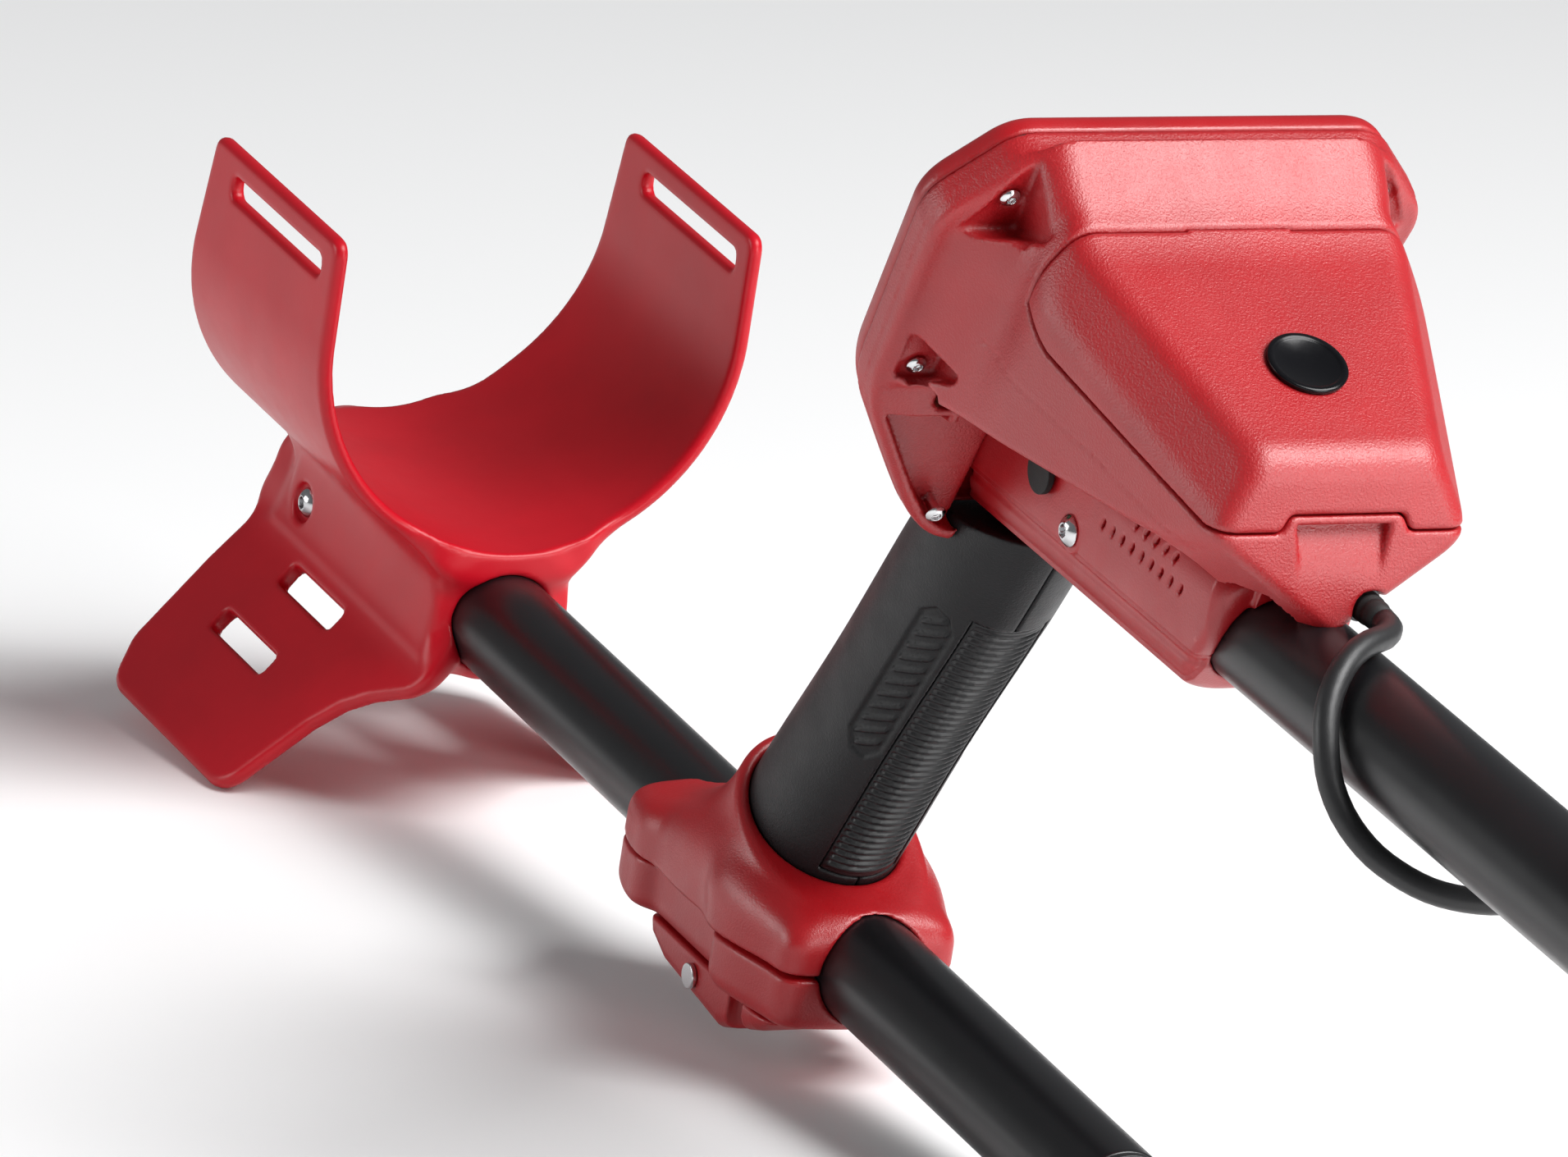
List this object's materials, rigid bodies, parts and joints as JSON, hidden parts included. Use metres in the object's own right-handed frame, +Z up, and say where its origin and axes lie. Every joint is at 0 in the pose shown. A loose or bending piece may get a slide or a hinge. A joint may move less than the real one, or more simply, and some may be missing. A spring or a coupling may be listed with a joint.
{
  "type": "metal detector",
  "caption": "Telescoping metal detector with a U-shaped armrest, upright grip, display pod, cam and twist clamps, wound cable and flat oval search coil.",
  "frame": {"origin": "middle of the footprint on the ground, with the detector standing on its two armrest legs and its coil", "axes": "+X forward towards the coil, +Y to the left, +Z up"},
  "size_m": [1.5008, 0.204, 0.2502],
  "materials": {
    "red_plastic": "satin",
    "red_textured": "fine moulded grain",
    "steel": "polished",
    "black_tube": "black anodised, satin",
    "black_plastic": "satin",
    "grey_plastic": "satin",
    "dark_plastic": "satin",
    "black_grip": "fine grain",
    "black_rubber": "matt",
    "lens": "gloss",
    "circuit_board": "solder mask",
    "black_badge": "gloss",
    "cable_jacket": "satin",
    "lower_shaft": "satin",
    "coil_plastic": "fine grain",
    "copper": "enamelled"
  },
  "bodies": {
    "frame": {"clamp_upper": "red_textured", "clamp_lower": "red_textured", "clamp_screws": "steel", "clamp_shoe": "grey_plastic", "lever_housing": "red_textured", "lever_pin": "steel", "grip_right": "black_grip", "grip_left": "black_grip", "grip_insert": "black_rubber", "grip_bolt": "steel", "shaft_housing": "red_textured", "housing_screw": "steel", "housing_nut": "steel", "main_tube": "black_tube", "pod_rear_shell": "red_plastic", "pod_front_shell": "red_textured", "pod_gasket": "black_rubber", "pod_screws": "steel", "display_lens": "lens", "display_module": "grey_plastic", "main_board": "circuit_board", "speaker": "black_plastic", "battery_pack": "black_plastic", "coil_socket": "grey_plastic", "port_cover": "black_rubber", "cable_plug": "black_plastic", "coil_cable": "cable_jacket", "lock_body": "black_plastic"},
    "armrest_carriage": {"armrest": "red_plastic", "armrest_screw": "steel", "armrest_nut": "steel", "armrest_tube": "black_tube", "tube_plug_rear": "black_plastic", "tube_plug_front": "black_plastic"},
    "cam_lever": {"cam_lever": "grey_plastic", "lever_tab": "dark_plastic"},
    "lower_shaft": {"lower_shaft": "lower_shaft", "shaft_yoke": "black_plastic", "yoke_pin": "steel", "cable_clip": "black_plastic", "cable_tail": "cable_jacket"},
    "lock_collar": {"lock_collar": "red_textured"},
    "coil": {"coil_shell": "coil_plastic", "coil_base": "grey_plastic", "coil_windings": "copper", "coil_bolt": "black_plastic", "coil_nut": "black_plastic", "pivot_washers": "black_rubber", "coil_gland": "black_rubber"},
    "battery_door": {"battery_door": "red_textured", "door_badge": "black_badge"},
    "key_power": {"key_power": "grey_plastic"},
    "key_menu": {"key_menu": "grey_plastic"},
    "key_up": {"key_up": "grey_plastic"},
    "key_down": {"key_down": "grey_plastic"},
    "key_select": {"key_select": "grey_plastic"}
  },
  "joints": [
    {"name": "armrest_slide", "type": "slide", "parent": "frame", "child": "armrest_carriage", "axis": [0.9947, 0, -0.1026], "range_m": [-0.1, 0.085]},
    {"name": "cam_lever_hinge", "type": "hinge", "parent": "frame", "child": "cam_lever", "pos_m": [-0.49008, 0, 0.0142], "axis": [0, -1, 0], "range_deg": [0, 100]},
    {"name": "shaft_slide", "type": "slide", "parent": "frame", "child": "lower_shaft", "axis": [0.9947, 0, -0.1026], "range_m": [-0.2, 0], "deforming": ["coil_cable"]},
    {"name": "lock_twist", "type": "hinge", "parent": "frame", "child": "lock_collar", "pos_m": [0.21448, 0, 0.10034], "axis": [0.9947, 0, -0.1026], "range_deg": [0, 90]},
    {"name": "coil_tilt", "type": "hinge", "parent": "lower_shaft", "child": "coil", "pos_m": [0.60541, 0, 0.06], "axis": [0, -1, 0], "range_deg": [-5, 80], "deforming": ["cable_tail"]},
    {"name": "battery_door_hinge", "type": "hinge", "parent": "frame", "child": "battery_door", "pos_m": [-0.3161, 0, 0.23009], "axis": [0, -1, 0], "range_deg": [0, 75]},
    {"name": "key_power_press", "type": "slide", "parent": "frame", "child": "key_power", "axis": [0.8368, 0, -0.5474], "range_m": [0, 0.0012], "stiffness_N_per_m": 900, "springref_m": -0.0005},
    {"name": "key_menu_press", "type": "slide", "parent": "frame", "child": "key_menu", "axis": [0.8368, 0, -0.5474], "range_m": [0, 0.0012], "stiffness_N_per_m": 900, "springref_m": -0.0005},
    {"name": "key_up_press", "type": "slide", "parent": "frame", "child": "key_up", "axis": [0.8368, 0, -0.5474], "range_m": [0, 0.0012], "stiffness_N_per_m": 900, "springref_m": -0.0005},
    {"name": "key_down_press", "type": "slide", "parent": "frame", "child": "key_down", "axis": [0.8368, 0, -0.5474], "range_m": [0, 0.0012], "stiffness_N_per_m": 900, "springref_m": -0.0005},
    {"name": "key_select_press", "type": "slide", "parent": "frame", "child": "key_select", "axis": [0.8368, 0, -0.5474], "range_m": [0, 0.0012], "stiffness_N_per_m": 900, "springref_m": -0.0005}
  ]
}
